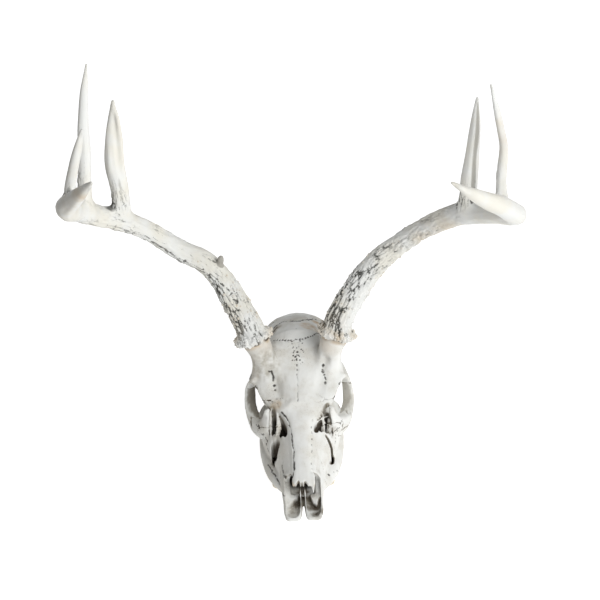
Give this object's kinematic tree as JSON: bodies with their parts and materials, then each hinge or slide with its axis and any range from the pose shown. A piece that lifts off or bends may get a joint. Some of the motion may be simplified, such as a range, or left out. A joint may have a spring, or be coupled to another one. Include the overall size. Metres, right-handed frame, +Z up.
{
  "type": "white-tailed deer skull",
  "caption": "Bleached skull of an adult white-tailed buck without its lower jaw, carrying two swept, branching antlers, lying on its cheek teeth.",
  "frame": {"origin": "middle of the underside of the whole model's box, on the surface that the skull lies on", "axes": "+Z up, -Y along the nose away from the braincase, +X to the animal's own left"},
  "size_m": [0.4496, 0.271, 0.4614],
  "materials": {
    "bone": "dry bleached bone, satin, with fine pores and hairline sutures",
    "stained_bone": "dry bone with faint ochre stain near the antlers",
    "antler": "bleached antler, grained and beaded low down, smooth and faintly ivory towards the points"
  },
  "bodies": {
    "root": {"nasal_left": "bone", "nasal_right": "bone", "premaxilla_left": "bone", "premaxilla_right": "bone", "maxilla_with_teeth_left": "bone", "maxilla_with_teeth_right": "bone", "lacrimal_left": "bone", "lacrimal_right": "bone", "zygomatic_left": "bone", "zygomatic_right": "bone", "frontal_left": "stained_bone", "frontal_right": "stained_bone", "sphenoid": "bone", "braincase": "bone", "occiput": "bone", "vomer": "bone", "turbinate_left": "bone", "turbinate_right": "bone", "antler_left_burr": "antler", "antler_left_beam_lower": "antler", "antler_left_beam_middle": "antler", "antler_left_beam_tip": "antler", "antler_left_tine_2": "antler", "antler_left_tine_3": "antler", "antler_right_burr": "antler", "antler_right_beam_lower": "antler", "antler_right_beam_middle": "antler", "antler_right_beam_upper": "antler", "antler_right_beam_tip": "antler", "antler_right_brow_nub": "antler", "antler_right_tine_2": "antler", "antler_right_tine_3": "antler", "antler_right_tine_4": "antler"}
  },
  "joints": []
}
